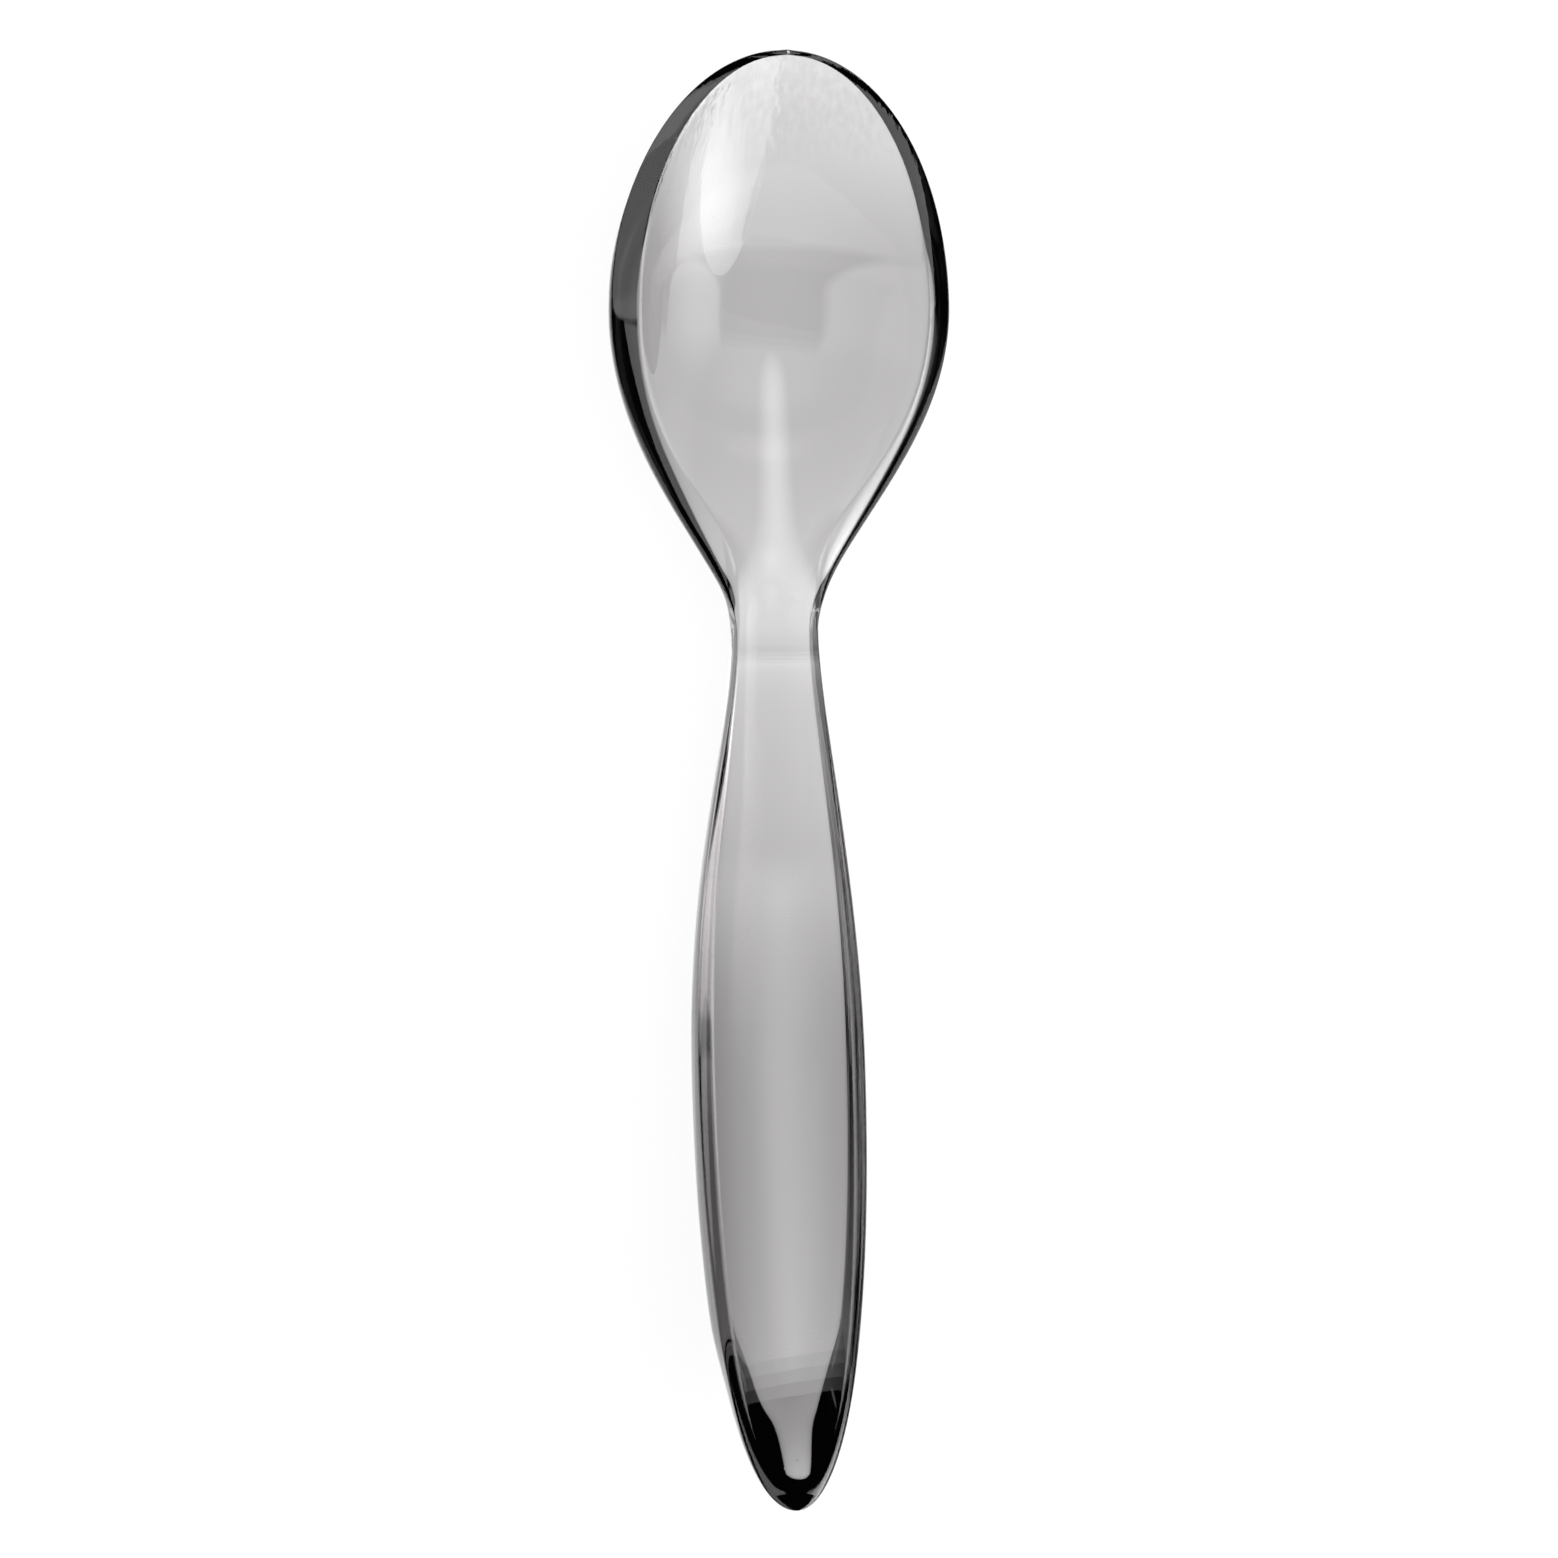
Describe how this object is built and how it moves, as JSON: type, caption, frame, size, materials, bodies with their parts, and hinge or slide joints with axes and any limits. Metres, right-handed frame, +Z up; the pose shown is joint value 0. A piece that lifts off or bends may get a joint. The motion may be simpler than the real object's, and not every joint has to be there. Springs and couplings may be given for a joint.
{
  "type": "egg spoon",
  "caption": "Short clear smoke-grey moulded spoon with an egg-shaped bowl, a slim neck and a leaf-shaped handle that leans up towards its end.",
  "frame": {"origin": "centre of the footprint at table level, with the spoon lying on its back", "axes": "+Y along the spoon towards the bowl's tip, +Z up out of the bowl, +X to the right of the bowl seen from above"},
  "size_m": [0.0286, 0.12, 0.012],
  "materials": {
    "clear_smoke_plastic": "clear injection-moulded plastic with a light smoke tint and a polished surface"
  },
  "bodies": {
    "root": {"bowl": "clear_smoke_plastic", "handle": "clear_smoke_plastic"}
  },
  "joints": []
}
